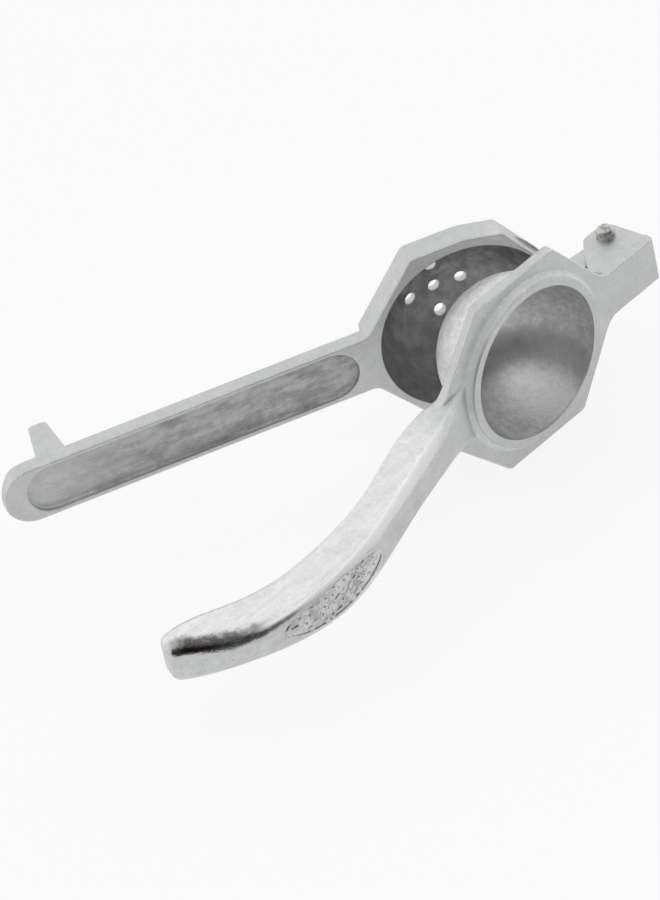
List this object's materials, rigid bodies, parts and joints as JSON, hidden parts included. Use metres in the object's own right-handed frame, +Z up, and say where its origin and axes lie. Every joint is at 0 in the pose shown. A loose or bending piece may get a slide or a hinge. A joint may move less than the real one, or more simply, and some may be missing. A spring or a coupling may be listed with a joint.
{
  "type": "hand citrus press",
  "caption": "Cast hand press for limes: a half-round cup with drain holes and a hollow punch on two long handles that close about one hinge pin.",
  "frame": {"origin": "on the lower flat side of the cup flange, straight below the middle of the cup, with the press lying on its side", "axes": "+X from the hinge towards the end of the cup handle, +Y from the cup towards the punch, +Z up, parallel to the hinge pin"},
  "size_m": [0.2103, 0.127, 0.063],
  "materials": {
    "cup_casting": "tumbled casting, satin",
    "punch_casting": "tumbled casting, polished handle",
    "pin_steel": "plain dark steel"
  },
  "bodies": {
    "cup": {"cup_lever": "cup_casting"},
    "punch": {"punch_lever": "punch_casting", "hinge_pin": "pin_steel"}
  },
  "joints": [
    {"name": "hinge", "type": "hinge", "parent": "cup", "child": "punch", "pos_m": [-0.049, -0.0028, 0.0315], "axis": [0, 0, 1], "range_deg": [-24.6, 95.4]}
  ]
}
